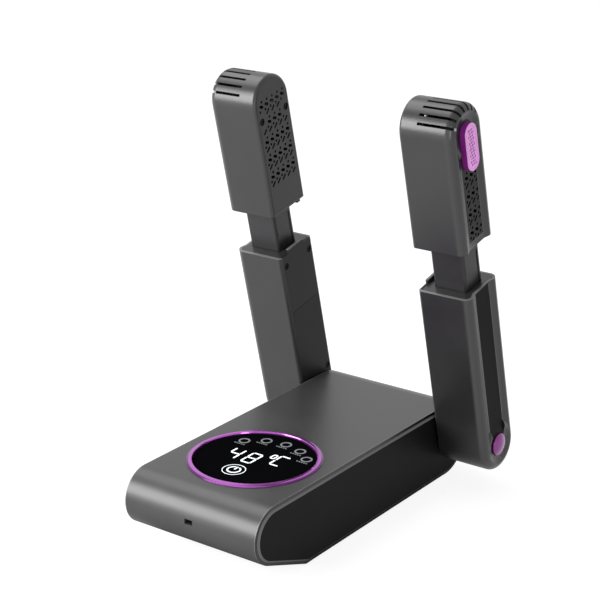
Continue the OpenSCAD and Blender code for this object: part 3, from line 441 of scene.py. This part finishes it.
# Screw wells are painted near-black below the cover's face, as painted shade; on the inner cover only
# below the casing's top
SCREW_WELL = ({"Across": (SCREW_WELL_FLOOR, FAR, CRISP)}, HOLE_PAINTED_SHADE)
COVER_SCREW_WELL = ({"Across": (SCREW_WELL_FLOOR, FAR, CRISP),
                     "Along": (0, CASING_TOP - 1.0 * MM, CRISP)}, HOLE_PAINTED_SHADE)
PIECE_FINISH = {
    "side_cap": finish_material(
        "side_cap_painted_highlight_bevel", (0.0115, 0.0115, 0.0115), 0.45, specular=0.05, marks=[
            # The bevel round the side cap's face is painted light grey: painted highlight
            ({"Across": (SKIN_EDGE + 0.03 * MM, CAP_FACE - 0.05 * MM, CRISP)},
             CAP_BEVEL_PAINTED_HIGHLIGHT)]),
    "base_shell": finish_material(
        "base_satin_grey_painted_edge_highlight_and_end_shade", (0.042, 0.042, 0.043), 0.36, marks=[
            # Painted highlight along the base shell's side edges
            ({"Across": (SKIN_EDGE - 0.7 * MM, SKIN_EDGE - 0.2 * MM, 0.2 * MM)},
             SHELL_EDGE_PAINTED_HIGHLIGHT),
            # The base shell's end faces are painted near-black: painted shade
            ({"Across": (SKIN_EDGE - 0.12 * MM, FAR, 0.05 * MM)}, JOINT_DARK_AND_PAINTED_SHADE)]),
    # The head cover's hole walls are painted near-black: painted shade
    "head_cover": finish_material(
        "cover_grey_holes_painted_shade", (0.026, 0.026, 0.027), 0.34, specular=0.35, marks=[
            ({"Across": (COVER_HOLE_WALL, FAR, CRISP)}, HOLE_PAINTED_SHADE)]),
    "hinge_cover": finish_material(
        "cover_grey_lower", (0.018, 0.018, 0.019), 0.42, specular=0.12, marks=[
            # A dark joint at the seam, and screw wells painted near-black as painted shade
            ({"Along": (SEAM - 0.45 * MM, FAR, CRISP)}, JOINT_DARK_AND_PAINTED_SHADE), SCREW_WELL]),
    "inner_cover": finish_material(
        "cover_grey_upper", (0.021, 0.021, 0.022), 0.42, specular=0.14, marks=[
            ({"Along": (0, SEAM + 0.2 * MM, CRISP)}, JOINT_DARK_AND_PAINTED_SHADE),
            # Painted highlight along the top of the tab; the screw wells are painted shade
            ({"Along": (TAB_RIM, FAR, CRISP)}, RIM_PAINTED_HIGHLIGHT), COVER_SCREW_WELL]),
    "casing_shell": finish_material(
        "arm_satin_grey_painted_highlight_rim_and_edges", (0.022, 0.022, 0.023), 0.3, marks=PAINTED_HIGHLIGHT_FRONT_EDGES + [
            # Painted highlight along the casing's top rim
            ({"Along": (CASING_RIM, FAR, 0.1 * MM)}, RIM_PAINTED_HIGHLIGHT)]),
    "head_shell": finish_material(
        "arm_satin_grey_painted_edge_highlight_slot_shade", (0.024, 0.024, 0.025), 0.3, marks=PAINTED_HIGHLIGHT_FRONT_EDGES + [
            ({"Along": (0, HEAD_FOOT + 0.35 * MM, 0.1 * MM)}, JOINT_DARK_AND_PAINTED_SHADE),
            # The head's vent slots are painted near-black: painted shade
            ({"Reach": (-FAR, SLOT_REACH, CRISP), "Across": (*SLOT_RANGE, CRISP)},
             HOLE_PAINTED_SHADE)]),
    "slide_tube": finish_material(
        "tube_grey_painted_shade_foot_and_face", (0.024, 0.023, 0.025), 0.34, specular=0.35, marks=[
            # Painted shade: the tube darkens towards its foot at the casing's top
            ({"Along": (-FAR, TUBE_SHADE, TUBE_SHADE - CASING_TOP)}, TUBE_FOOT_PAINTED_SHADE),
            # Painted shade on the tube's outer face
            ({"Across": (TUBE_OUTER_FACE - 0.1 * MM, FAR, CRISP)}, TUBE_FACE_PAINTED_SHADE),
            # A slit on the tube painted near-black: painted shade
            ({"Along": (*TUBE_SLIT_ALONG, CRISP), "Depth": (*TUBE_SLIT_DEPTH, CRISP)},
             HOLE_PAINTED_SHADE)]),
    # The grille's hole walls are painted near-black: painted shade
    "head_grille": finish_material(
        "panel_black_holes_painted_shade", (0.017, 0.017, 0.0175), 0.45, specular=0.15, marks=[
            ({"Across": (0, OUTER_FLOOR - 0.15 * MM, CRISP)}, HOLE_PAINTED_SHADE)]),
    # Painted glow over the oval ring, and painted shade on its wall
    "oval_ring": finish_material(
        "glossy_lilac_painted_glow_shaded_wall", (0.76, 0.31, 0.74), 0.25, depth=0.002, tint=0.05, coat=0.5,
        coat_roughness=0.1, specular=0.3, glow=0.25, marks=[
            ({"Across": (0, OVAL_FACE - 0.55 * MM, 0.1 * MM)}, OVAL_WALL_PAINTED_SHADE)]),
    "hinge_cap": finish_material(
        "plated_purple_dome", (0.22, 0.02, 0.22), 0.16, metallic=0.5, depth=0.002, tint=0.05,
        coat=0.5),
    # Painted glow over the oval mesh, and painted shade in its holes
    "oval_mesh": finish_material(
        "perforated_lilac_painted_glow_shaded_holes", (0.80, 0.36, 0.79), 0.4, depth=0.004, specular=0.2, glow=0.3,
        marks=[({"Across": (0, OVAL_FACE - 0.57 * MM, CRISP)}, MESH_HOLE_PAINTED_SHADE)]),
    # Painted shade on the display ring's outer slope, beyond its crest
    "display_ring": finish_material(
        "plated_purple_ring_painted_shade_slope", (0.46, 0.10, 0.53), 0.14, metallic=0.85, depth=0.002, tint=0.05,
        coat=0.3, marks=[({"Radius": (RING_CREST_END, FAR, 0.3 * MM)}, RING_SLOPE_PAINTED_SHADE)]),
    "function_icons": finish_material("lit_grey", (0.20, 0.21, 0.22), 0.5, tint=0.02, glow=0.35,
                                      specular=0.0),
}


# ---- modelling helpers ----

SHARP_EDGE = math.radians(35)
SMOOTH_BELOW = math.radians(40)
SAME_PLANE = math.radians(0.4)
SAME_POINT = 0.002 * MM


def alone(obj):
    """Makes an object the only one that the next operators work on."""
    bpy.ops.object.select_all(action="DESELECT")
    obj.select_set(True)
    bpy.context.view_layer.objects.active = obj


def apply_bevel(obj, width):
    alone(obj)
    bevel = obj.modifiers.new("edge", "BEVEL")
    bevel.width = width * MM
    bevel.segments = 2
    bevel.limit_method = "ANGLE"
    bevel.angle_limit = SHARP_EDGE
    bevel.use_clamp_overlap = True
    bpy.ops.object.modifier_apply(modifier=bevel.name)


def smooth(obj):
    alone(obj)
    bpy.ops.object.shade_smooth_by_angle(angle=SMOOTH_BELOW)


def dress(obj, slot, body, *stands_for, look=None):
    """Gives a piece its finish and the body that it moves with, and hides the nodes that it stands for.
    """
    obj.data.materials.clear()
    obj.data.materials.append(look or FINISH[slot])
    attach(obj, body)
    if stands_for:
        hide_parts(*stands_for)


def keep_flats_flat(obj):
    """Lets the big flat faces set the shading, so that long narrow faces don't streak them."""
    alone(obj)
    weighted = obj.modifiers.new("flats", "WEIGHTED_NORMAL")
    weighted.mode = "FACE_AREA"
    weighted.weight = 100
    weighted.keep_sharp = True
    bpy.ops.object.modifier_apply(modifier=weighted.name)


def softened(node, width, look=None):
    """A copy of a CAD node, merged, with its sharp edges rounded, in the node's place."""
    alone(nodes[node])
    bpy.ops.object.duplicate()
    piece = bpy.context.active_object
    for key in list(piece.keys()):
        del piece[key]
    piece.parent = None
    piece.matrix_world = Matrix.Identity(4)
    piece.name = node + "_piece"
    alone(piece)
    bpy.ops.object.mode_set(mode="EDIT")
    bpy.ops.mesh.select_all(action="SELECT")
    bpy.ops.mesh.remove_doubles(threshold=SAME_POINT)
    bpy.ops.mesh.dissolve_limited(angle_limit=SAME_PLANE)
    bpy.ops.object.mode_set(mode="OBJECT")
    if width:
        apply_bevel(piece, width)
    smooth(piece)
    keep_flats_flat(piece)
    dress(piece, node_slot[node], node_body[node], node, look=look)
    return piece


def reach_top(panel, side):
    """Takes the face of a casing panel up to the casing's top edge, a hair proud of its frame."""
    for point in panel.data.vertices:
        across, depth, height = point.co
        along = (height - PIVOT[1]) * math.cos(LEAN) - (depth - PIVOT[0]) * math.sin(LEAN)
        point.select = (side * across > OUTER_FLOOR - PANEL_FACE_BAND
                        and along > CASING_TOP - PANEL_TOP_BAND)
    alone(panel)
    bpy.ops.object.mode_set(mode="EDIT")
    bpy.ops.mesh.select_mode(type="VERT")
    bpy.ops.transform.translate(value=(
        0, -PANEL_STRETCH * math.sin(LEAN), PANEL_STRETCH * math.cos(LEAN)))
    bpy.ops.mesh.select_all(action="SELECT")
    bpy.ops.transform.translate(value=(side * PANEL_PROUD, 0, 0))
    bpy.ops.object.mode_set(mode="OBJECT")


add_camera()
add_world()
add_floor()
add_lamp("key_softbox", at=(-0.70, -0.96, 0.52), target=(0, 0, 0.08), size=(0.75, 0.70), power=19)
add_lamp("top_softbox", at=(-0.60, 0.10, 1.35), target=(-0.03, 0, 0.1), size=(0.9, 0.9), power=8)
add_lamp("right_softbox", at=(1.00, -0.75, 0.27), target=(0.08, 0.05, 0.2), size=(0.28, 0.5), power=3)

# Width of the rounded edges of each dressed piece, in millimetres
EDGE_WIDTHS = {
    "base_shell": 0.4, "bottom_cover": 0.3, "rubber_feet": 0.4, "base_screws": 0.12,
    "display_ring": 0.25, "display_glass": 0.2, "temperature_digits": 0, "function_icons": 0,
    "power_symbol": 0, "cord_grommet": 0.2, "hinge_block": 0, "hinge_shaft": 0.2,
    "gap_washer": 0.25, "casing_shell": 0.2, "casing_panel": 0.15, "hinge_cover": 0.15,
    "inner_cover": 0.2, "hinge_cap": 0.3, "casing_collar": 0.2, "casing_screws": 0.12,
    "slide_tube": 0.15, "head_shell": 0.2, "head_grille": 0.1, "head_cover": 0.08,
    "oval_ring": 0.4, "oval_mesh": 0.08, "head_screws": 0.12, "side_cap": 0.2,
    "fan_frame": 0.3, "fan_impeller": 0.1, "heater": 0,
}
for node in sorted(nodes):
    kind = node.split("_", 1)[1] if node.split("_")[0] in SIDES else node
    if kind in EDGE_WIDTHS:
        piece = softened(node, EDGE_WIDTHS[kind], look=PIECE_FINISH.get(kind))
        if kind == "casing_panel":
            reach_top(piece, SIDES[node.split("_")[0]])
    else:
        nodes[node].data.materials.clear()
        nodes[node].data.materials.append(FINISH[node_slot[node]])

bpy.context.scene.view_settings.view_transform = "Standard"
bpy.context.view_layer.update()
